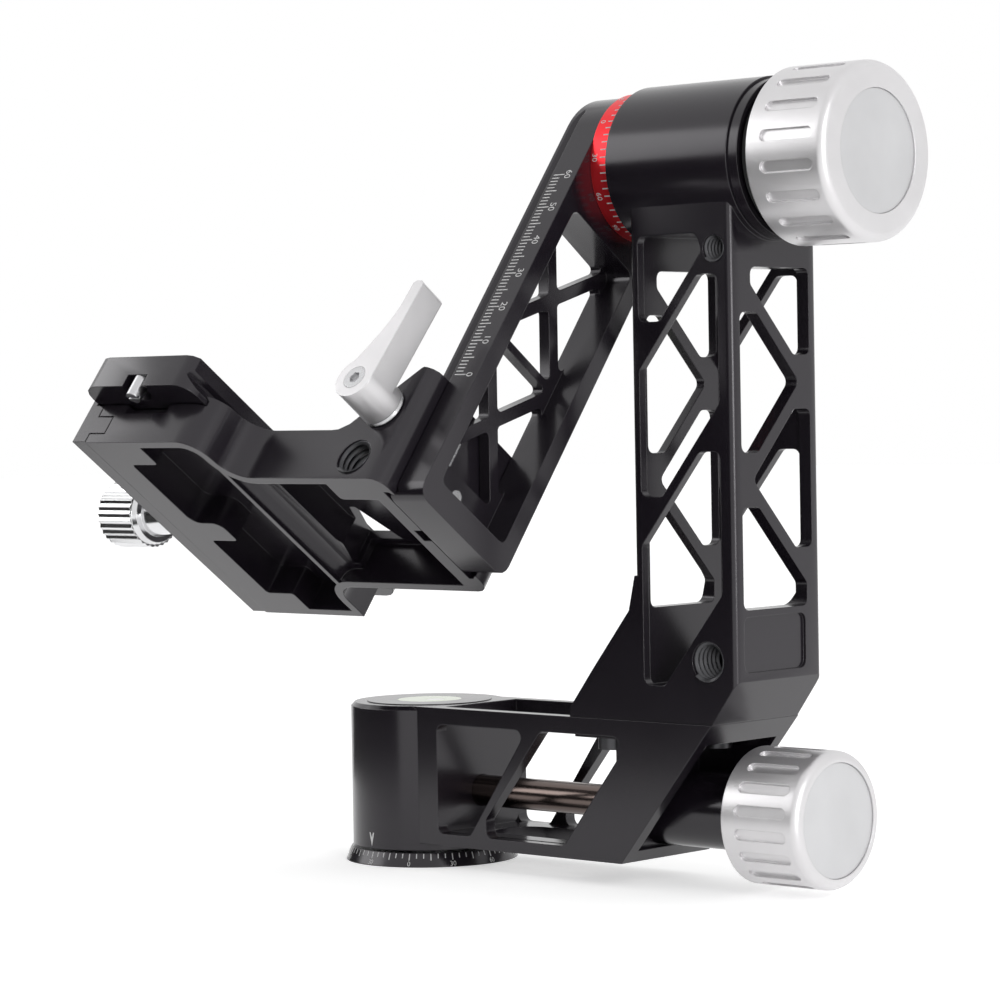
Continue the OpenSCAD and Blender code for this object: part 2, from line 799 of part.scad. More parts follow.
module pan_arm() color(black) difference() {
    union() {
        translate([0, 0, hub_z0])
            cylinder(r = hub_r, h = pan_top - hub_z0 - hub_edge);
        translate([0, 0, pan_top - hub_edge])
            cylinder(r1 = hub_r, r2 = hub_r - hub_edge, h = hub_edge);
        along_y(arm_half)
            polygon([[0, arm_z0], [arm_x1, arm_z0], [foot_x1, pan_top], [0, pan_top]]);
    }
    translate([0, 0, hub_z0 - over])
        cylinder(r = pan_bearing_r + run_gap, h = lower_top - hub_z0 + over);
    translate([0, 0, lower_top - over])
        cylinder(r = shoulder_r, h = upper_z - lower_top + 2 * over);
    translate([0, 0, upper_z])
        cylinder(r = pan_bearing_r + run_gap, h = pan_top - upper_z);
    translate([0, 0, pan_top - cap_seat])
        cylinder(r = cap_r + run_gap, h = cap_seat + over);
    along_y(arm_half - arm_wall)
        polygon([
            [hollow_x0, floor_z], [cross_x0, floor_z], [cross_x0, roof_z],
            [foot_x0 - over, roof_z], [foot_x0 - over, pan_top + over], [hollow_x0, pan_top + over]
        ]);
    along_y(arm_half - arm_wall)
        polygon([
            [cross_x1, floor_z], [foot_x1 + over, floor_z],
            [foot_x1 + over, roof_z], [cross_x1, roof_z]
        ]);
    along_z(arm_z0 - over, floor_z + over)
        translate([hollow_x0 + floor_slot_set + floor_slot / 2, 0])
            obround(floor_slot, 2 * floor_slot_half);
    translate([0, 0, rod_z])
        rod_x(rod_r + run_gap, 0, hollow_x0 + over);
    translate([0, 0, rod_z])
        rod_x(tube_spigot_r + run_gap, cross_x0 - over, cross_x1 + over);
    pan_side_windows();
    join_places()
        translate([0, 0, roof_z - over])
            cylinder(r = join_r + run_gap, h = arm_roof + 2 * over, $fn = 32);
}

module join_places() {
    for (x = [foot_x0 + join_in, cross_x1 + join_out], y = [-join_half, join_half])
        translate([x, y, 0])
            children();
}

module pan_bearing_lower() color(steel)
    ring(pan_bearing_r, spindle_r + run_gap, lower_z, lower_top);

module pan_bearing_upper() color(steel)
    ring(pan_bearing_r, spindle_r + run_gap, upper_z, upper_top);

module level_cap() color(black) difference() {
    translate([0, 0, pan_top - cap_seat])
        cylinder(r = cap_r, h = cap_t);
    translate([0, 0, vial_z])
        cylinder(r = vial_r + run_gap, h = vial_t + over);
}

module level_vial() color([0.8, 0.85, 0.5]) difference() {
    translate([0, 0, vial_z])
        cylinder(r = vial_r, h = vial_t);
    translate([bubble_r, 0, vial_z + vial_t - bubble_t])
        cylinder(r = bubble_r, h = bubble_t + over, $fn = 32);
}

module level_bubble() color([0.9, 0.92, 0.85])
    translate([bubble_r, 0, vial_z + vial_t - bubble_t])
        cylinder(r = bubble_r - run_gap, h = bubble_t, $fn = 32);

module brake_shoe() color(bronze) difference() {
    translate([0, 0, rod_z])
        rod_x(rod_r, 0, shoe_x1);
    cylinder(r = shoe_x0, h = pan_top);
}

module clamp_tube() color(black) translate([0, 0, rod_z]) difference() {
    union() {
        rod_x(tube_spigot_r, cross_x0, cross_x1);
        rod_x(tube_r, cross_x1, pan_knob_x - ring_gap);
    }
    rod_x(rod_r + run_gap, cross_x0 - over, pan_knob_x);
}

module upright_outline() {
    rise = flare_rise;
    polygon([
        [foot_x0, pan_top],
        [foot_x0 + 0.3, pan_top + 0.07 * rise],
        [foot_x0 + 0.35 * foot_in, pan_top + 0.335 * rise],
        [foot_x0 + 0.907 * foot_in, pan_top + 0.757 * rise],
        [up_x0, pan_top + rise],
        [up_x0 + 2 * up_edge, pan_top + rise],
        [foot_x1 - over, pan_top + foot_rise],
        [foot_x1, pan_top]
    ]);
}

module upright_hollow() {
    hollow_x = truss_x0 + front_flat + 1.2;
    polygon([
        [up_x0 + up_wall_in, truss_z0],
        [hollow_x, truss_z0],
        [up_x1 - up_wall_out, truss_z0 + (up_x1 - up_wall_out - hollow_x) * front_slope],
        [up_x1 - up_wall_out, side_z1],
        [boss_x, side_z1],
        [boss_x, truss_z1],
        [up_x0 + up_wall_in, truss_z1]
    ]);
}

module wall_cut() {
    for (s = [-1, 1])
        translate([0, s * (up_half - up_wall / 2 + over / 2), 0])
            along_y((up_wall + over) / 2)
                children();
}

module front_windows() {
    for (w = [[truss_z0, low_head], [mid_sill, mid_head]])
        wall_cut()
            polygon(rounded([
                [truss_x0, w[0]], [truss_x0 + front_flat, w[0]],
                [truss_x1, w[0] + truss_run * front_slope], [truss_x1, w[1]],
                [truss_x1 - front_flat, w[1]], [truss_x0, w[1] - truss_run * front_slope]
            ], win_r));
    run = (truss_z1 - top_sill) / front_slope;
    wall_cut()
        polygon(rounded([
            [truss_x0, top_sill], [truss_x0 + front_flat, top_sill],
            [truss_x0 + front_flat + 0.8 * run, top_sill + 0.8 * run * front_slope],
            [truss_x0 + front_flat + 0.7 * run, truss_z1], [truss_x0, truss_z1]
        ], win_r));
}

module side_windows() {
    h = side_half;
    tip = h - side_tip;
    root = h - side_flat;
    a = side_mid_a;
    b = side_mid_b;
    top = side_mid_a + side_pitch;
    low = side_mid_b - side_pitch;
    right_low = top - side_rise;
    left_top = low + side_rise;
    shapes = [
        [
            [-h, a - side_rise], [-root, a - side_rise], [tip, a],
            [-root, a + side_rise], [-h, a + side_rise]
        ],
        [
            [h, b - side_rise], [h, b + side_rise], [root, b + side_rise],
            [-tip, b], [root, b - side_rise]
        ],
        [
            [h, right_low], [h, side_z1], [-tip, side_z1],
            [-tip, right_low + side_slope * (root + tip)], [root, right_low]
        ],
        [
            [-h, side_z0], [tip + 2, side_z0], [tip + 2, left_top - side_slope * (root + tip + 2)],
            [-root, left_top], [-h, left_top]
        ]
    ];
    for (s = shapes)
        along_x(up_x0 - housing_in - over, up_x1 + over)
            polygon(rounded(s, win_r - 0.2));
}

module upright_arm() color(black) difference() {
    union() {
        intersection() {
            along_z(pan_top, tilt_z)
                polygon(rounded([
                    [up_x0, -up_half], [up_x1, -up_half], [up_x1, up_half], [up_x0, up_half]
                ], up_edge));
            along_y(up_half + over)
                polygon([
                    [up_x0 - over, pan_top], [foot_x1, pan_top], [up_x1, pan_top + foot_rise],
                    [up_x1 + over, pan_top + foot_rise], [up_x1 + over, tilt_z], [up_x0 - over, tilt_z]
                ]);
        }
        along_y(up_half) upright_outline();
        translate([0, 0, tilt_z])
            rod_x(housing_r, housing_x0, housing_x1);
    }
    along_y(up_half - up_wall) upright_hollow();
    front_windows();
    side_windows();
    translate([0, 0, tilt_z]) {
        rod_x(tilt_bearing_r - 1.5, housing_x0 - over, housing_x1 + over);
        rod_x(tilt_bearing_r + run_gap, housing_x0 - over, bearing_in_x + tilt_bearing_h);
        rod_x(tilt_bearing_r + run_gap, bearing_out_x, housing_x1 + over);
    }
    panel_z = pan_top + foot_rise + panel_set;
    panel_y = side_half - panel_short;
    along_x(up_x1 - panel_t, up_x1 + over)
        polygon(rounded([
            [-side_half, panel_z], [panel_y, panel_z],
            [panel_y, panel_z + panel_h], [-side_half, panel_z + panel_h]
        ], win_r));
    translate([up_x1 - small_thread_set, 0, tilt_z - small_thread_drop])
        rod_y(small_thread_r, -up_half - over, -up_half + thread_depth);
    translate([up_x1 - large_thread_set, 0, pan_top + large_thread_rise])
        rod_y(large_thread_r, -up_half - over, -up_half + thread_depth);
    join_places()
        translate([0, 0, pan_top - over])
            cylinder(r = join_r + run_gap, h = join_len + over, $fn = 32);
}

module join_screws() color(steel)
    join_places() {
        translate([0, 0, roof_z])
            cylinder(r = join_r, h = arm_roof + join_len, $fn = 32);
        translate([0, 0, roof_z - join_head])
            difference() {
                cylinder(r = join_head_r, h = join_head, $fn = 32);
                translate([0, 0, -over])
                    cylinder(r = 0.55 * join_head_r, h = 0.6 * join_head + over, $fn = 6);
            }
    }

module end_ring() color(black) translate([0, 0, tilt_z]) difference() {
    union() {
        rod_x(tilt_bearing_r, bearing_out_x + tilt_bearing_h, housing_x1);
        rod_x(end_ring_r, housing_x1, end_ring_x1);
    }
    rod_x(end_ring_bore, bearing_out_x, end_ring_x1 + over);
}

module tilt_bearing(x) translate([x, 0, tilt_z]) rotate([0, 90, 0])
    ring(tilt_bearing_r, axle_r + run_gap, 0, tilt_bearing_h);

module tilt_bearing_inner() color(steel) tilt_bearing(bearing_in_x);

module tilt_bearing_outer() color(steel) tilt_bearing(bearing_out_x);

// Knobs

module knob_shape(r, len, disc_r) {
    front = arc([r - knob_round, len - knob_round], knob_round, 0, 90, 6);
    difference() {
        rotate_extrude()
            polygon(concat([[0, 0], [r - knob_edge, 0], [r, knob_edge]], front, [[0, len]]));
        translate([0, 0, len - disc_t - disc_sunk])
            cylinder(r = disc_r + run_gap, h = disc_t + disc_sunk + over);
        slot = len - groove_back - groove_front;
        for (i = [0:grooves - 1])
            rotate([0, 0, i * 360 / grooves])
                translate([r - groove_t, 0, groove_back + slot / 2])
                    rotate([0, 90, 0])
                        linear_extrude(groove_t + over)
                            obround(slot, groove_w);
    }
}

module pan_knob() color(silver) translate([pan_knob_x, 0, rod_z]) rotate([0, 90, 0]) difference() {
    knob_shape(pan_knob_r, pan_knob_len, pan_cap_r);
    translate([0, 0, -over])
        cylinder(r = rod_r + run_gap, h = pan_knob_len - 2 * disc_t - disc_sunk + over);
}

module knob_cap(len, disc_r) {
    translate([0, 0, len - disc_t - disc_sunk])
        cylinder(r = disc_r, h = disc_t);
}

module pan_knob_cap() color(silver) translate([pan_knob_x, 0, rod_z]) rotate([0, 90, 0])
    knob_cap(pan_knob_len, pan_cap_r);

module clamp_rod() color(bronze) translate([0, 0, rod_z])
    rod_x(rod_r, shoe_x1 + face_gap, pan_knob_x + pan_knob_len - 2 * disc_t - disc_sunk);

module tilt_knob() color(silver) translate([tilt_knob_x, 0, tilt_z]) rotate([0, 90, 0]) difference() {
    knob_shape(tilt_knob_r, tilt_knob_len, tilt_cap_r);
    translate([0, 0, -over])
        cylinder(r = axle_r + run_gap, h = tilt_knob_len);
}

module tilt_knob_cap() color(silver) translate([tilt_knob_x, 0, tilt_z]) rotate([0, 90, 0])
    knob_cap(tilt_knob_len, tilt_cap_r);

// Swing body, drawn with X along the axle and Z along the arm

module swing_outline() {
    h = swing_half;
    c = swing_corner;
    circle(r = h);
    polygon(concat(
        [[h, 0], [-h, 0]],
        arc([-h + c, -swing_len + c], c, 180, 270, 4),
        arc([h - c, -swing_len + c], c, 270, 360, 4)
    ));
}

module rail_grooves() {
    side = [
        [lip_u, swing_half + over], [lip_u, swing_half], [flank_u, groove_v],
        [groove_u, groove_v], [groove_u, swing_half + over]
    ];
    for (s = [-1, 1])
        along_z(-swing_len - over, swing_half)
            polygon([for (p = side) [p[0], s * p[1]]]);
}

module cell_windows(mid) {
    a = pocket_half;
    b = cell_h / 2;
    side_tip_v = cross_brace / 2 * norm([a, b]) / b;
    end_tip_w = cross_brace / 2 * norm([a, b]) / a;
    right = [[side_tip_v, 0], [a, -b + end_tip_w], [a, b - end_tip_w]];
    up = [[0, end_tip_w], [a - side_tip_v, b], [-a + side_tip_v, b]];
    for (s = [-1, 1]) {
        translate([0, mid])
            polygon(rounded([for (p = right) [s * p[0], p[1]]], cell_r));
        translate([0, mid])
            polygon(rounded([for (p = up) [p[0], s * p[1]]], cell_r));
    }
}

module axle_screw_places() {
    for (i = [0:3])
        rotate([45 + 90 * i, 0, 0])
            translate([0, axle_screw_ring, 0])
                children();
}

module swing_arm() color(black) swing_frame() difference() {
    union() {
        along_x(swing_u0, swing_u1) swing_outline();
        rod_x(boss_r, swing_u1 - over, swing_u1 + scale_w - boss_short);
    }
    rail_grooves();
    along_x(web_u, swing_u1 + over)
        polygon(rounded([
            [-pocket_half, pocket_w0], [pocket_half, pocket_w0],
            [pocket_half, pocket_w1], [-pocket_half, pocket_w1]
        ], win_r));
    along_x(swing_u0 - over, web_u + over)
        for (i = [0:cells - 1])
            cell_windows(cell_w0 + cell_h / 2 + i * (cell_h + cell_bar));
    rod_x(axle_r + run_gap, swing_u0 - over, swing_u1 + scale_w);
    rod_x(axle_flange_r + run_gap, swing_u0 - over, swing_u0 + axle_flange_t);
    axle_screw_places()
        rod_x(axle_screw_r + run_gap, swing_u0, swing_u0 + axle_screw_len);
    translate([0, 0, stop_pin_w])
        rod_x(stop_pin_r + run_gap, swing_u0 - over, web_u + over);
}

module scale_ring() color(red) swing_frame() difference() {
    rod_x(scale_r, swing_u1, swing_u1 + scale_w);
    rod_x(boss_r + run_gap, swing_u1 - over, swing_u1 + scale_w + over);
}

module tilt_axle() color(steel) swing_frame() difference() {
    union() {
        rod_x(axle_flange_r, swing_u0, swing_u0 + axle_flange_t);
        rod_x(axle_r, swing_u0, axle_end);
    }
    axle_screw_places()
        rod_x(axle_screw_r + run_gap, swing_u0 - over, swing_u0 + axle_flange_t + over);
}

module axle_screws() color(dark) swing_frame()
    axle_screw_places()
        rod_x(axle_screw_r, swing_u0, swing_u0 + axle_screw_len);

module friction_washer() color(dark) swing_frame() difference() {
    rod_x(collar_r, collar_x0, collar_x1);
    rod_x(axle_r + run_gap, collar_x0 - over, collar_x1 + over);
}

module rail_stop() color(steel) swing_frame()
    translate([0, 0, stop_pin_w])
        rod_x(stop_pin_r, swing_u0 - stop_pin_out, web_u);

// Platform

module platform_outline() {
    n = neck_half;
    c = column_round;
    polygon(concat(
        [[clamp_u0, -clamp_near]],
        arc([clamp_u1 - near_r, -clamp_near + near_r], near_r, -90, 0),
        arc([neck_u, -n - near_r], near_r, 180, 90),
        arc([column_u1 - c, -n + c], c, -90, 0, 4),
        arc([column_u1 - c, n - c], c, 0, 90, 4),
        arc([far_u + far_r, n + far_r], far_r, 270, 180),
        [[far_u, clamp_far], [clamp_u0, clamp_far]]
    ));
}

// The same outline, inside the side walls and short of the back wall
module platform_inner() {
    n = neck_half - skirt_t;
    polygon(concat(
        [[clamp_u0 + skirt_t, -clamp_near + skirt_t]],
        arc([clamp_u1 - near_r, -clamp_near + near_r], near_r - skirt_t, -90, 0),
        arc([neck_u, -neck_half - near_r], near_r + skirt_t, 180, 90),
        [[back_u, -n], [back_u, n]],
        arc([far_u + far_r, neck_half + far_r], far_r + skirt_t, 270, 180),
        [[far_u - skirt_t, clamp_far - skirt_t], [clamp_u0 + skirt_t, clamp_far - skirt_t]]
    ));
}

module column_outline() {
    slope_u = column_u1 - column_top - column_run;
    polygon([
        [column_u1, under_w], [column_u1, column_w], [column_u1 - column_top, column_w],
        [slope_u, top_w + column_foot], [slope_u - 0.58 * foot_run, top_w + 0.12 * column_foot],
        [slope_u - foot_run, top_w], [neck_u, top_w], [neck_u, under_w]
    ]);
}

module bed_cut() {
    rise = plate_w + plate_lip - flank_gap;
    along_y(2 * clamp_near)
        polygon([
            [clamp_u0 - over, bed_w], [fixed_u, bed_w], [fixed_u, rise],
            [fixed_u - (top_w - rise), top_w], [fixed_u - (top_w - rise), top_w + over],
            [clamp_u0 - over, top_w + over]
        ]);
}

module bed_pocket_outline() {
    u1 = pocket_u0 + boss_len;
    v0 = -clamp_near + corner_len;
    v1 = clamp_far - corner_len;
    intersection() {
        platform_inner();
        polygon(rounded([
            [u1, -clamp_near], [u1, v0], [pocket_u0, v0], [pocket_u0, -boss_half],
            [u1, -boss_half], [u1, boss_half], [pocket_u0, boss_half], [pocket_u0, v1],
            [u1, v1], [u1, clamp_far], [wall_u, clamp_far], [wall_u, -clamp_near]
        ], [1, 1, 1, 3, 3, 1, 1, 1, 1, 1, 1, 1]));
    }
}

// The step's hollow side, seen along the plate
module step_side() {
    shares = [[0, 0.2], [0.07, 0.5], [0.2, 0.78], [0.38, 0.94], [0.58, 1]];
    polygon(concat(
        [[clamp_u1, under_w - over]],
        [for (p = shares) [clamp_u1 + p[0] * band_len, under_w + p[1] * band_t]],
        [[band_u1 + 2, under_w + band_t], [band_u1 + 2, under_w - over]]
    ));
}

module deep_pocket_outline() {
    n = neck_half;
    boss_u = thread_u - side_boss_set;
    boss_v = -n + skirt_t + side_boss;
    difference() {
        intersection() {
            platform_inner();
            polygon([
                [band_u1, -n], [back_u, -n], [back_u, n], [gap_u0 + 0.5, n],
                [gap_u0 + 2.5, gap_set + gap_width - 1.8], [band_u1 + 2.5, gap_set + 8],
                [band_u1, gap_set + 3]
            ]);
        }
        polygon(rounded([
            [boss_u, -n], [boss_u, boss_v], [back_u + over, boss_v], [back_u + over, -n]
        ], 1));
    }
}

module rail_slot() {
    side = [
        [face_u, slot_v], [lip_u + flank_gap, slot_v],
        [flank_u + flank_gap, hook_v], [column_u1 + over, hook_v]
    ];
    along_z(under_w - over, column_w + over)
        polygon(concat(side, [for (i = [3:-1:0]) [side[i][0], -side[i][1]]]));
}

module end_boxes(u0, u1, depth, w0, w1) {
    for (v = [[-clamp_near - over, -clamp_near + depth], [clamp_far - depth, clamp_far + over]])
        translate([u0, v[0], w0])
            cube([u1 - u0, v[1] - v[0], w1 - w0]);
}

module guide_places() {
    for (v = [-clamp_near + guide_set, clamp_far - guide_set])
        translate([0, v, screw_w])
            children();
}

module gib_box(gap) {
    translate([back_u - gap, -gib_set - gib_len - gap, lever_w - gib_h / 2 - gap])
        cube([swing_u0 - back_u + 2 * gap, gib_len + 2 * gap, gib_h + 2 * gap]);
}

module platform() color(black) swing_frame() difference() {
    union() {
        along_z(under_w, top_w) platform_outline();
        intersection() {
            along_z(under_w, column_w) platform_outline();
            along_y(neck_half + over) column_outline();
        }
    }
    bed_cut();
    along_z(top_w, column_w + over)
        polygon([
            [neck_u, -gusset_v], [back_u, -gusset_v], [back_u, gusset_v], [neck_u, gusset_v]
        ]);
    rail_slot();
    along_z(under_w - over, under_w + bed_pocket) bed_pocket_outline();
    intersection() {
        along_z(under_w - over, under_w + band_t)
            platform_inner();
        along_y(clamp_near)
            step_side();
    }
    along_z(under_w - over, top_w - skin_t) deep_pocket_outline();
    along_z(under_w - over, top_w + over)
        polygon([
            [gap_u0 + 0.4 * gap_len, gap_set], [gap_u0 + 0.55 * gap_len, gap_set],
            [gap_u0 + gap_len, gap_set + gap_width], [gap_u0, gap_set + gap_width]
        ]);
    pin_gap = stop_pin_r + face_gap;
    translate([swing_u0 - stop_pin_out - face_gap, -pin_gap, under_w - over])
        cube([stop_pin_out + face_gap, 2 * pin_gap, stop_pin_rise + pin_gap + over]);
    end_boxes(plate_u - notch_half, plate_u + notch_half, notch_t, bed_w - stop_drop - face_gap, top_w + over);
    end_boxes(
        clamp_u0 - over, jaw_u1 + tongue_len + face_gap, tongue_w + face_gap,
        tongue_w0 - face_gap, tongue_w0 + tongue_h + face_gap
    );
    guide_places()
        rod_x(guide_r + run_gap, clamp_u0 - over, clamp_u0 + guide_in + face_gap);
    translate([0, 0, screw_w])
        rod_x(qr_screw_r + run_gap, clamp_u0 - over, clamp_u0 + qr_screw_in + face_gap);
    translate([thread_u, 0, thread_w])
        rod_y(large_thread_r, -neck_half - over, -neck_half + skirt_t + side_boss + over);
    translate([lever_u, 0, lever_w])
        rod_y(stud_r + run_gap, -neck_half - over, -gusset_v + over);
    gib_box(run_gap);
}

module clamp_gib() color(steel) swing_frame()
    translate([back_u, -gib_set - gib_len, lever_w - gib_h / 2])
        cube([face_u + face_gap / 2 - back_u, gib_len, gib_h]);

// Lever

module lever_place() {
    swing_frame()
        translate([lever_u, -neck_half - face_gap, lever_w])
            rotate([0, lever_lean, 0])
                children();
}

// One edge runs straight from the hub, and the other curves in to the tip's width
module lever_outline() {
    root = 0.98 * lever_r;
    blade = root - lever_tip;
    hollow = lever_hollow * lever_len;
    c = lever_tip_round;
    polygon(concat(
        [[root, 0], [root, lever_len - c], [root - c, lever_len]],
        [[blade + c, lever_len], [blade, lever_len - c]],
        [for (i = [8:-1:0])
            let (t = 1 - i / 8)
            [blade - (root + blade) * pow(t, 1.5), hollow * (1 - t)]]
    ));
}

module lever_handle() color(silver) lever_place() difference() {
    union() {
        rod_y(lever_r, -lever_hub, -lever_washer_t);
        translate([0, -lever_hub + lever_t / 2, 0])
            along_y(lever_t / 2)
                lever_outline();
    }
    rod_y(stud_r + run_gap, -lever_hub, over);
    rod_y(lever_screw_r + run_gap, -lever_hub - over, -lever_hub + lever_screw_t);
}

module lever_washer() color(steel) lever_place() difference() {
    rotate([90, 0, 0])
        cylinder(r1 = lever_r, r2 = lever_r - 0.4 * lever_washer_t, h = lever_washer_t);
    rod_y(stud_r + run_gap, -lever_washer_t - over, over);
}

module lever_screw() color(steel) lever_place() difference() {
    rod_y(lever_screw_r, -lever_hub, -lever_hub + lever_screw_t);
    translate([0, -lever_hub + lever_screw_t / 2, 0])
        rotate([90, 0, 0])
            cylinder(r = 0.5 * lever_screw_r, h = lever_screw_t, $fn = 6);
}

module lever_stud() color(steel) lever_place()
    rod_y(stud_r, -lever_hub + lever_screw_t, stud_in);

// Quick-release clamp

module qr_jaw() color(black) swing_frame() {
    ledge = bed_w - 0.1;
    rise = plate_w + plate_lip - flank_gap;
    difference() {
        union() {
            translate([0, (clamp_far - clamp_near) / 2, 0])
                along_y((clamp_near + clamp_far) / 2)
                    polygon([
                        [jaw_u0, under_w + jaw_up], [jaw_u1, under_w + jaw_up], [jaw_u1, ledge],
                        [jaw_lip_u, ledge], [jaw_lip_u, rise],
                        [jaw_lip_u + top_w - rise, top_w], [jaw_u0, top_w]
                    ]);
            for (v = [-clamp_near, clamp_far - tongue_w])
                translate([jaw_u1 - over, v, tongue_w0])
                    cube([tongue_len + over, tongue_w, tongue_h]);
        }
        translate([0, 0, screw_w])
            rod_x(qr_screw_r + face_gap, jaw_u0 - over, jaw_u1 + over);
        guide_places()
            rod_x(guide_r + run_gap, jaw_u0 - over, jaw_u1 + over);
    }
}

module guide_pins() color(steel) swing_frame()
    guide_places()
        rod_x(guide_r, jaw_u0, clamp_u0 + guide_in);

module qr_knob() color(steel) swing_frame() translate([knob_u0, 0, screw_w]) difference() {
    union() {
        along_x(-qr_knob_len, -knob_rim)
            polygon([
                for (i = [0:2 * knurls - 1])
                    let (r = qr_knob_r - (i % 2) * knurl_t, a = i * 180 / knurls)
                    [r * cos(a), r * sin(a)]
            ]);
        translate([-knob_rim, 0, 0])
            rotate([0, 90, 0])
                cylinder(r1 = rim_r, r2 = rim_r - knob_rim / 2, h = knob_rim);
        rotate([0, 90, 0])
            cylinder(r1 = 0.68 * qr_knob_r, r2 = 0.56 * qr_knob_r, h = qr_boss_len);
    }
    rod_x(qr_screw_r + run_gap, -qr_knob_len / 2, qr_boss_len + over);
}

module qr_screw() color(steel) swing_frame() translate([0, 0, screw_w])
    rod_x(qr_screw_r, knob_u0 - qr_knob_len / 2, clamp_u0 + qr_screw_in);

// Lens plate

module plate_frame() {
    swing_frame()
        translate([plate_u, -plate_shift, plate_w])
            children();
}

module plate_side() {
    lip = [plate_half, plate_lip];
    neck = [plate_half - plate_flank, plate_lip + plate_flank];
    half = [
        [plate_half, 0], lip, neck, [neck[0], neck[1] + 0.8],
        [plate_body, neck[1] + 0.8 + plate_body - neck[0]], [plate_body, plate_h]
    ];
    polygon(concat(half, [for (i = [5:-1:0]) [-half[i][0], half[i][1]]]));
}

module stop_places() {
    for (s = [-1, 1])
        translate([0, s * stop_v, 0])
            children();
}

module pad_places() {
    for (s = [-1, 1])
        translate([s * (slot_w + 1.5 + pad_w / 2), 0, 0])
            children();
}

module lens_plate() color(black) plate_frame() difference() {
    intersection() {
        along_y(plate_len / 2) plate_side();
        along_z(-over, plate_h + over)
            polygon(rounded([
                [-plate_half, -plate_len / 2], [plate_half, -plate_len / 2],
                [plate_half, plate_len / 2], [-plate_half, plate_len / 2]
            ], plate_corner));
    }
    along_z(-over, plate_h + over)
        rotate([0, 0, 90])
            obround(2 * slot_half, 2 * slot_w);
    along_z(-over, slot_t)
        rotate([0, 0, 90])
            obround(2 * (slot_half - slot_w + slot_low), 2 * slot_low);
    stop_places() {
        translate([0, 0, -over])
            cylinder(r = relief_r, h = relief_t + over, $fn = 32);
        cylinder(r = stop_r / 2 + run_gap, h = relief_t + 3, $fn = 32);
    }
    pad_places()
        translate([-pad_w / 2 - run_gap, -pad_len / 2 - run_gap, plate_h - pad_t])
            cube([pad_w + 2 * run_gap, pad_len + 2 * run_gap, pad_t + over]);
}

module stop_screws() color(steel) plate_frame()
    stop_places() {
        difference() {
            translate([0, 0, -stop_drop])
                cylinder(r = stop_r, h = stop_drop + relief_t, $fn = 32);
            translate([-stop_r - over, -0.3, -stop_drop - over])
                cube([2 * stop_r + 2 * over, 0.6, over + 0.7]);
        }
        translate([0, 0, relief_t])
            cylinder(r = stop_r / 2, h = 3, $fn = 32);
    }

module plate_pads() color(dark) plate_frame()
    pad_places()
        translate([-pad_w / 2, -pad_len / 2, plate_h - pad_t])
            cube([pad_w, pad_len, pad_t]);

base_ring();
spindle();
spindle_washer();
spindle_screw();
pan_arm();
pan_bearing_lower();
pan_bearing_upper();
level_cap();
level_vial();
level_bubble();
brake_shoe();
clamp_tube();
upright_arm();
join_screws();
end_ring();
tilt_bearing_inner();
tilt_bearing_outer();
pan_knob();
pan_knob_cap();
clamp_rod();
swing_arm();
scale_ring();
tilt_axle();
axle_screws();
friction_washer();
rail_stop();
tilt_knob();
tilt_knob_cap();
platform();
clamp_gib();
lever_handle();
lever_washer();
lever_screw();
lever_stud();
qr_jaw();
guide_pins();
qr_knob();
qr_screw();
lens_plate();
stop_screws();
plate_pads();
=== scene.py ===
import json
import math

import bmesh
import bpy
from mathutils import Matrix, Vector


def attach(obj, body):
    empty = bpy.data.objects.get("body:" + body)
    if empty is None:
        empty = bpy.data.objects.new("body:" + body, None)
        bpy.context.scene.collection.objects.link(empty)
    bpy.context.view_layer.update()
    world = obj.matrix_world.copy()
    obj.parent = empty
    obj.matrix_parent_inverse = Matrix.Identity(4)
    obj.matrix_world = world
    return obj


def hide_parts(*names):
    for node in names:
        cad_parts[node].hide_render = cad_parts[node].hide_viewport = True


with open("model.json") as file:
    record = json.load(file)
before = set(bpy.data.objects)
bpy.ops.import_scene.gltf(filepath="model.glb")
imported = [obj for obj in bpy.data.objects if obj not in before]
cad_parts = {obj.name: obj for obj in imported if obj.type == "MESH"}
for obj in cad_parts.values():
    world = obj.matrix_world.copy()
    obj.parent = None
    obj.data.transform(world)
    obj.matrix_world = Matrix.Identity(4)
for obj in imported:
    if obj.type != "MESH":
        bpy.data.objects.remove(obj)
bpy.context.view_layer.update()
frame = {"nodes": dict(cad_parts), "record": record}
nodes = frame["nodes"]
record = frame["record"]
SLOTS = {p["node"]: p["material_slot"] for p in record["subparts"]}
BODY = {n: b for b, group in record["behaviour"]["bodies"].items() for n in group}
MM = 0.001

# The swing arm's own axes: U along the axle, V across the arm, W up the arm
AXLE_HEIGHT = 0.1748
SWING_LEAN = -37
LOCAL = (Matrix.Translation((0, 0, AXLE_HEIGHT))
         @ Matrix.Rotation(math.radians(SWING_LEAN), 4, "X"))

# The camera's turn, climb and roll in degrees, its place, lens and shift
CAMERA_ANGLES = (42.58, -1.66, -1.01)
CAMERA_PLACE = (0.61762, -0.64302, 0.11845)
CAMERA_LENS = 123.21
CAMERA_SHIFT = (-0.0014, 0.0005)

# Worn edges catch the light over this radius, in metres
EDGE_RADIUS = 0.00035
# Size of the broad changes in colour and gloss, and how far the colour goes each way
WIDE_GRAIN = 60
DARKEST = 0.88
LIGHTEST = 1.1

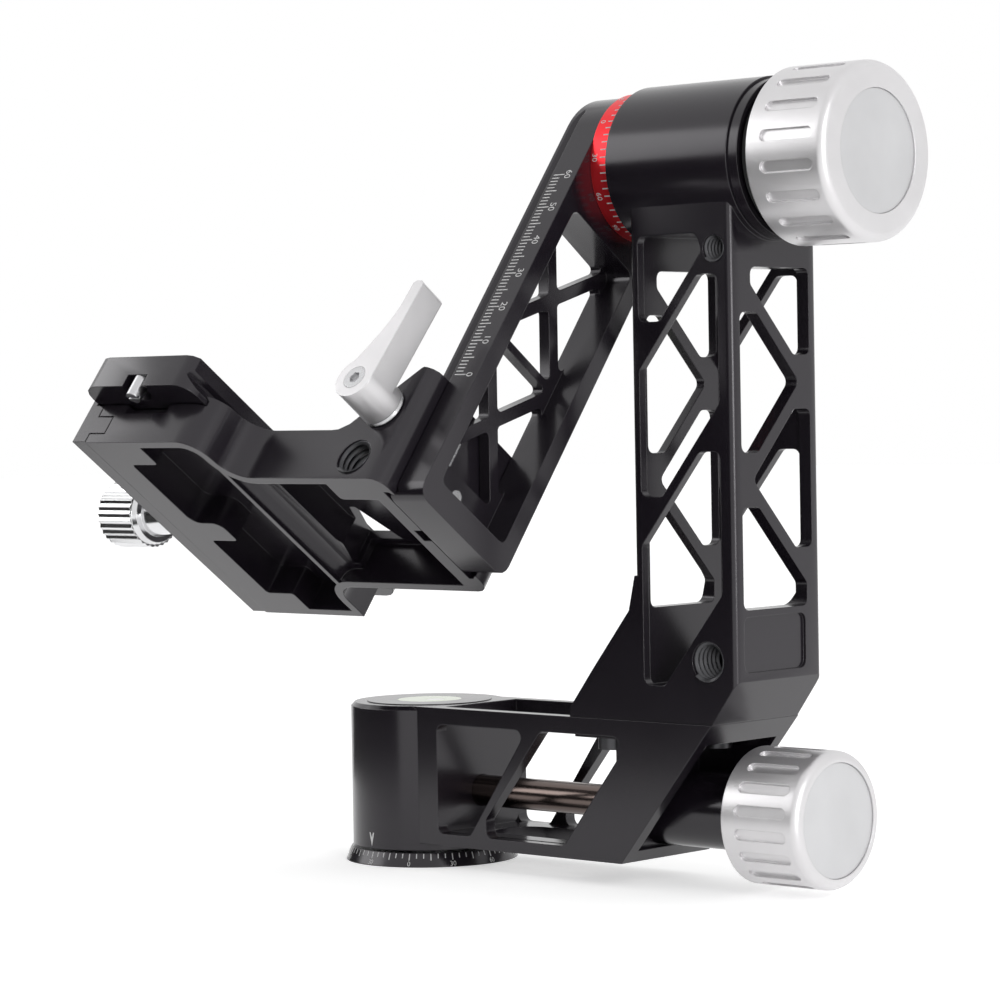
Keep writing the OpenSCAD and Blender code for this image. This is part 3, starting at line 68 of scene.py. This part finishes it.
# Pieces whose round faces are shaded smooth, and the angle that stays a sharp edge
MACHINED = (
    "upright_arm", "pan_arm", "swing_arm", "platform", "qr_jaw", "lens_plate", "lever_handle",
    "pan_knob", "tilt_knob", "pan_knob_cap", "tilt_knob_cap", "end_ring", "clamp_tube",
    "scale_ring", "friction_washer", "level_cap", "base_ring", "clamp_rod", "tilt_axle",
    "qr_knob", "qr_screw", "lever_washer", "lever_stud", "lever_screw", "stop_screws",
    "guide_pins", "rail_stop")
SHARP_ANGLE = 30
WELD = 2e-6

# Half the thickness of a mark, in mm
INK = 0.03

# The ruler, in the swing arm's mm: its edge and zero on the rail's side face
RULER_U = 67.3
RULER_V = -17.5
RULER_W = -75.7
RULER_LAST = 60
RULER_NUMERALS = 4.7

# The red ring: radius, place along the axle, and the turn of its zero in degrees
RING_R = 18.2
RING_U = 80.0
RING_ZERO = 1
RING_NUMERALS = 4.1

# The base ring's cone: radius at the foot, how much it loses over its height
CONE_R = 22.4
CONE_DROP = 1.5
CONE_HEIGHT = 3.5
CONE_ZERO = 27.9

# The hub's radius and the turn of its pointer in degrees
HUB_R = 20.5
POINTER_TURN = -5
POINTER = ((0, 4.6), (0.9, 8.2), (0.45, 8.2), (0, 6.9), (-0.45, 8.2), (-0.9, 8.2))

# Steps round one turn of a thread's ridge
THREAD_STEPS = 20
# A ridge's foot is this share of the pitch each side, and sunk this far into the wall
RIDGE_FOOT = 0.42
RIDGE_SINK = 0.02
# The two camera threads: radius and pitch in mm, and the way their holes open
SMALL_THREAD = (3.175, 1.27)
LARGE_THREAD = (4.76, 1.5875)
FORWARD = (0, -1, 0)


def at(u, v, w):
    return LOCAL @ Vector((u * MM, v * MM, w * MM))


def around(radius, angle, height):
    return Vector((radius * math.sin(angle) * MM, -radius * math.cos(angle) * MM, height * MM))


def camera():
    az, el, roll = (math.radians(a) for a in CAMERA_ANGLES)
    f = Vector((-math.sin(az) * math.cos(el), math.cos(az) * math.cos(el), math.sin(el)))
    right = Vector((math.cos(az), math.sin(az), 0))
    up = right.cross(f)
    r = math.cos(roll) * right + math.sin(roll) * up
    u = -math.sin(roll) * right + math.cos(roll) * up
    data = bpy.data.cameras.new("camera")
    data.sensor_width = 36
    data.lens = CAMERA_LENS
    data.shift_x, data.shift_y = CAMERA_SHIFT
    data.clip_start = 0.01
    data.clip_end = 50
    obj = bpy.data.objects.new("camera", data)
    m = Matrix((r, u, -f)).transposed().to_4x4()
    m.translation = Vector(CAMERA_PLACE)
    obj.matrix_world = m
    bpy.context.scene.collection.objects.link(obj)
    bpy.context.scene.camera = obj


def noise_node(t, coord, scale, detail):
    noise = t.nodes.new("ShaderNodeTexNoise")
    noise.inputs["Scale"].default_value = scale
    noise.inputs["Detail"].default_value = detail
    t.links.new(coord.outputs["Object"], noise.inputs["Vector"])
    return noise


# Fine grain in the bump, broad changes in colour and roughness, and softened edges
def material(name, color, metallic, rough, grain=2500, bump=0.05, spread=0.05, specular=0.5):
    m = bpy.data.materials.new(name)
    m.use_nodes = True
    t = m.node_tree
    b = t.nodes["Principled BSDF"]
    b.inputs["Metallic"].default_value = metallic
    b.inputs["Specular IOR Level"].default_value = specular
    coord = t.nodes.new("ShaderNodeTexCoord")
    fine = noise_node(t, coord, grain, 3)
    wide = noise_node(t, coord, WIDE_GRAIN, 4)
    ramp = t.nodes.new("ShaderNodeMapRange")
    ramp.inputs["To Min"].default_value = rough - spread
    ramp.inputs["To Max"].default_value = rough + spread
    t.links.new(wide.outputs["Fac"], ramp.inputs["Value"])
    t.links.new(ramp.outputs["Result"], b.inputs["Roughness"])
    mix = t.nodes.new("ShaderNodeMix")
    mix.data_type = "RGBA"
    mix.inputs["A"].default_value = (*[c * DARKEST for c in color], 1)
    mix.inputs["B"].default_value = (*[min(1, c * LIGHTEST) for c in color], 1)
    t.links.new(wide.outputs["Fac"], mix.inputs["Factor"])
    t.links.new(mix.outputs["Result"], b.inputs["Base Color"])
    bm = t.nodes.new("ShaderNodeBump")
    bm.inputs["Strength"].default_value = bump
    bm.inputs["Distance"].default_value = 0.0001
    t.links.new(fine.outputs["Fac"], bm.inputs["Height"])
    edge = t.nodes.new("ShaderNodeBevel")
    edge.samples = 4
    edge.inputs["Radius"].default_value = EDGE_RADIUS
    t.links.new(edge.outputs["Normal"], bm.inputs["Normal"])
    t.links.new(bm.outputs["Normal"], b.inputs["Normal"])
    MATS[name] = m


MATS = {}
material("black_anodised", (0.014, 0.011, 0.016), 0.3, 0.2, bump=0.03, spread=0.03, specular=0.7)
material("silver_anodised", (0.7, 0.69, 0.7), 0.8, 0.36, grain=3500, bump=0.25)
material("silver_cap", (0.62, 0.62, 0.63), 0.8, 0.4, grain=3500, bump=0.2)
material("red_anodised", (0.85, 0.03, 0.04), 0.8, 0.35, spread=0.03)
material("steel", (0.55, 0.55, 0.56), 1, 0.28)
material("polished_steel", (0.7, 0.7, 0.71), 1, 0.16)
material("dark_steel", (0.08, 0.08, 0.085), 0.9, 0.35)
material("bronze", (0.14, 0.11, 0.1), 1, 0.2)
material("black_plastic", (0.02, 0.02, 0.02), 0, 0.5)
material("rubber", (0.02, 0.02, 0.02), 0, 0.75, grain=1500, bump=0.3)
material("level_fluid", (0.62, 0.72, 0.5), 0, 0.1)
material("level_air", (0.9, 0.93, 0.85), 0, 0.08)
material("white_paint", (0.8, 0.8, 0.8), 0, 0.5)
for n, o in nodes.items():
    o.data.materials.clear()
    o.data.materials.append(MATS[SLOTS[n]])


# A new piece from a mesh; smooth is the angle that stays sharp, or None for flat faces
def publish(name, bm, body, mat, slot, smooth=None):
    me = bpy.data.meshes.new(name)
    bm.to_mesh(me)
    bm.free()
    for extra in ("custom_normal", "sharp_face", "sharp_edge"):
        if extra in me.attributes:
            me.attributes.remove(me.attributes[extra])
    me.polygons.foreach_set("use_smooth", [smooth is not None] * len(me.polygons))
    if smooth:
        me.set_sharp_from_angle(angle=math.radians(smooth))
    me.materials.append(MATS[mat])
    me.update()
    obj = bpy.data.objects.new(name, me)
    bpy.context.scene.collection.objects.link(obj)
    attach(obj, body)
    return obj


# A copy of a piece whose round faces are shaded smooth
def machined(node):
    bm = bmesh.new()
    bm.from_mesh(nodes[node].data)
    bmesh.ops.remove_doubles(bm, verts=bm.verts, dist=WELD)
    obj = publish(node + "_machined", bm, BODY[node], SLOTS[node], SLOTS[node], SHARP_ANGLE)
    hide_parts(node)


class Ink:
    """Thin raised marks laid on a surface by a function of x, y and height."""

    def __init__(self):
        self.bm = bmesh.new()

    def add(self, mesh, place):
        start = len(self.bm.verts)
        self.bm.from_mesh(mesh)
        self.bm.verts.ensure_lookup_table()
        for v in self.bm.verts[start:]:
            v.co = place(v.co.x, v.co.y, v.co.z)
        bpy.data.meshes.remove(mesh)

    def bar(self, half, y0, y1, place, x=0):
        corners = ((x - half, y0), (x + half, y0), (x + half, y1), (x - half, y1))
        me = bpy.data.meshes.new("bar")
        me.from_pydata([(cx, cy, z) for z in (-INK, INK) for cx, cy in corners], [],
                       [(3, 2, 1, 0), (4, 5, 6, 7), (0, 1, 5, 4),
                        (1, 2, 6, 5), (2, 3, 7, 6), (3, 0, 4, 7)])
        self.add(me, place)

    def text(self, words, high, place):
        cu = bpy.data.curves.new("text", "FONT")
        cu.body = words
        cu.size = 1
        cu.align_x = "CENTER"
        cu.align_y = "CENTER"
        cu.resolution_u = 3
        obj = bpy.data.objects.new("text", cu)
        bpy.context.scene.collection.objects.link(obj)
        bpy.context.view_layer.update()
        drawn = obj.evaluated_get(bpy.context.evaluated_depsgraph_get())
        me = bpy.data.meshes.new_from_object(drawn)
        xs = [v.co.x for v in me.vertices]
        ys = [v.co.y for v in me.vertices]
        k = high / (max(ys) - min(ys))
        cx = (max(xs) + min(xs)) / 2
        cy = (max(ys) + min(ys)) / 2
        bm = bmesh.new()
        bm.from_mesh(me)
        for v in bm.verts:
            v.co = Vector(((v.co.x - cx) * k, (v.co.y - cy) * k, INK))
        bmesh.ops.solidify(bm, geom=bm.faces[:], thickness=2 * INK)
        bm.to_mesh(me)
        bm.free()
        self.add(me, place)
        bpy.data.objects.remove(obj)
        bpy.data.curves.remove(cu)

    def done(self, name, body):
        publish(name, self.bm, body, "white_paint", SLOTS["base_ring"])


# The numeral at each 30 degrees of a round scale, which counts up both ways from zero
def degrees_shown(n):
    return str(min(30 * n, 360 - 30 * n))


def on_rail(along=0, across=0):
    return lambda x, y, z: at(RULER_U + across + y, RULER_V - z, RULER_W + along - x)


def on_ring(degrees, back=0):
    def place(x, y, z):
        a = math.radians(degrees + RING_ZERO) + x / RING_R
        q = RING_R + z
        return at(RING_U - back + y, -q * math.cos(a), -q * math.sin(a))
    return place


def on_cone(degrees, height):
    def place(x, y, z):
        h = height + y
        q = CONE_R - CONE_DROP * h / CONE_HEIGHT
        a = math.radians(CONE_ZERO) + math.radians(degrees) + x / q
        return around(q + z, a, h)
    return place


def on_hub(x, y, z):
    return around(HUB_R + z, math.radians(POINTER_TURN) + x / HUB_R, y)


def marks():
    # Ruler up the side of the swing arm
    ink = Ink()
    for n in range(RULER_LAST + 1):
        ink.bar(0.15, 0, 3.5 if n % 5 == 0 else 2.3, on_rail(), -n)
    for n in range(0, RULER_LAST + 1, 10):
        ink.text(str(n), 1.9, on_rail(n, RULER_NUMERALS))
    ink.done("ruler_marks", "swing")

    # Degree marks round the red ring, its numerals' feet towards the upright
    ink = Ink()
    for n in range(60):
        ink.bar(0.16, -2.5, -0.15, on_ring(6 * n))
    for n in range(12):
        ink.text(degrees_shown(n), 1.5, on_ring(30 * n, RING_NUMERALS))
    ink.done("tilt_marks", "swing")

    # Degree marks round the base ring
    ink = Ink()
    for n in range(72):
        ink.bar(0.13, -1.6 if n % 3 == 0 else -1.15, 0, on_cone(5 * n, 3.35))
    for n in range(12):
        ink.text(degrees_shown(n), 1.2, on_cone(30 * n, 0.9))
    ink.done("pan_marks", "base")

    # Pointer on the hub
    ink = Ink()
    me = bpy.data.meshes.new("pointer")
    me.from_pydata([(x, y, INK) for x, y in POINTER], [], [(0, 1, 2, 3), (0, 3, 4, 5)])
    ink.add(me, on_hub)
    ink.done("pointer", "pan")


# Thread ridges inside a tapped hole
def thread(name, body, centre, axis, size, depth):
    r, pitch = size
    axis = Vector(axis).normalized()
    side = axis.orthogonal().normalized()
    other = axis.cross(side)
    profile = ((r + RIDGE_SINK, -RIDGE_FOOT * pitch), (r - 0.5 * pitch, 0),
               (r + RIDGE_SINK, RIDGE_FOOT * pitch))
    bm = bmesh.new()
    rows = []
    for i in range(int(depth / pitch * THREAD_STEPS) + 1):
        a = 2 * math.pi * i / THREAD_STEPS
        d = math.cos(a) * side + math.sin(a) * other
        x = pitch * i / THREAD_STEPS
        rows.append([bm.verts.new(Vector(centre) + (axis * (-(x + dx)) + d * rr) * MM)
                     for rr, dx in profile])
    for a, b in zip(rows, rows[1:]):
        for j, k in ((0, 1), (1, 2), (2, 0)):
            bm.faces.new((a[j], b[j], b[k], a[k]))
    bm.faces.new(rows[0])
    bm.faces.new(list(reversed(rows[-1])))
    bmesh.ops.recalc_face_normals(bm, faces=bm.faces)
    publish(name, bm, body, "dark_steel", "dark_steel", 40)


# Rays that show the white background: to the camera, in a gloss and through glass
def seen(t):
    path = t.nodes.new("ShaderNodeLightPath")
    out = path.outputs["Is Camera Ray"]
    for name in ("Is Glossy Ray", "Is Transmission Ray"):
        most = t.nodes.new("ShaderNodeMath")
        most.operation = "MAXIMUM"
        t.links.new(out, most.inputs[0])
        t.links.new(path.outputs[name], most.inputs[1])
        out = most.outputs[0]
    return out


# A black studio flag to the left, that only the gloss of the metal shows
def flag():
    profile = ((0.2, 0.003), (0.9, 0.003), (0.9, 0.26))
    angles = [math.radians(a) for a in range(165, 266, 5)]
    verts = [(0.02 + r * math.cos(a), r * math.sin(a), z) for a in angles for r, z in profile]
    faces = [(3 * i + k, 3 * i + k + 1, 3 * i + k + 4, 3 * i + k + 3)
             for i in range(len(angles) - 1) for k in (0, 1)]
    me = bpy.data.meshes.new("flag")
    me.from_pydata(verts, [], faces)
    obj = bpy.data.objects.new("flag", me)
    m = bpy.data.materials.new("flag")
    m.use_nodes = True
    b = m.node_tree.nodes["Principled BSDF"]
    b.inputs["Base Color"].default_value = (0.01, 0.01, 0.01, 1)
    b.inputs["Roughness"].default_value = 1
    me.materials.append(m)
    bpy.context.scene.collection.objects.link(obj)
    obj.visible_camera = False
    obj.visible_diffuse = False
    obj.visible_shadow = False


# A pale floor that keeps the shadow
def ground():
    bpy.ops.mesh.primitive_plane_add(size=8)
    floor = bpy.context.object
    floor.name = "floor"
    m = bpy.data.materials.new("floor")
    m.use_nodes = True
    t = m.node_tree
    b = t.nodes["Principled BSDF"]
    b.inputs["Base Color"].default_value = (0.85, 0.85, 0.85, 1)
    b.inputs["Roughness"].default_value = 0.9
    glow = t.nodes.new("ShaderNodeMath")
    glow.operation = "MULTIPLY"
    glow.inputs[1].default_value = 0.5
    t.links.new(seen(t), glow.inputs[0])
    b.inputs["Emission Color"].default_value = (1, 1, 1, 1)
    t.links.new(glow.outputs[0], b.inputs["Emission Strength"])
    floor.data.materials.append(m)


# A white background, whose light on the piece comes from the right
def sky():
    w = bpy.data.worlds.new("world")
    bpy.context.scene.world = w
    w.use_nodes = True
    t = w.node_tree
    bg = t.nodes["Background"]
    bg.inputs["Color"].default_value = (1, 1, 1, 1)
    coord = t.nodes.new("ShaderNodeTexCoord")
    dot = t.nodes.new("ShaderNodeVectorMath")
    dot.operation = "DOT_PRODUCT"
    dot.inputs[1].default_value = (0.68, 0.74, 0.25)
    t.links.new(coord.outputs["Generated"], dot.inputs[0])
    ramp = t.nodes.new("ShaderNodeMapRange")
    ramp.inputs["From Min"].default_value = -0.45
    ramp.inputs["From Max"].default_value = 0.8
    ramp.inputs["To Min"].default_value = 0.06
    ramp.inputs["To Max"].default_value = 1.2
    t.links.new(dot.outputs["Value"], ramp.inputs["Value"])
    mix = t.nodes.new("ShaderNodeMix")
    t.links.new(seen(t), mix.inputs["Factor"])
    t.links.new(ramp.outputs["Result"], mix.inputs["A"])
    mix.inputs["B"].default_value = 1.0
    t.links.new(mix.outputs["Result"], bg.inputs["Strength"])


def light(name, place, target, size, power):
    data = bpy.data.lights.new(name, "AREA")
    data.shape = "RECTANGLE"
    data.size, data.size_y = size
    data.energy = power
    obj = bpy.data.objects.new(name, data)
    bpy.context.scene.collection.objects.link(obj)
    obj.location = place
    d = Vector(target) - Vector(place)
    obj.rotation_euler = d.to_track_quat("-Z", "Y").to_euler()


camera()
ground()
sky()
flag()
for n in MACHINED:
    machined(n)
marks()
thread("small_thread", "pan", (0.1107, -0.0165, 0.1535), FORWARD, SMALL_THREAD, 10.5)
thread("large_thread", "pan", (0.1072, -0.0165, 0.056), FORWARD, LARGE_THREAD, 10)
thread("platform_thread", "platform", at(54.7, -23.4, -103.4), at(*FORWARD) - at(0, 0, 0),
       LARGE_THREAD, 7)
light("key", (-1.01, -0.57, 0.61), (0.05, 0, 0.12), (1.2, 0.7), 5.6)
light("side", (1.1, -0.5, 0.35), (0.05, 0, 0.1), (0.3, 0.8), 5)
bpy.context.scene.view_settings.view_transform = "Standard"
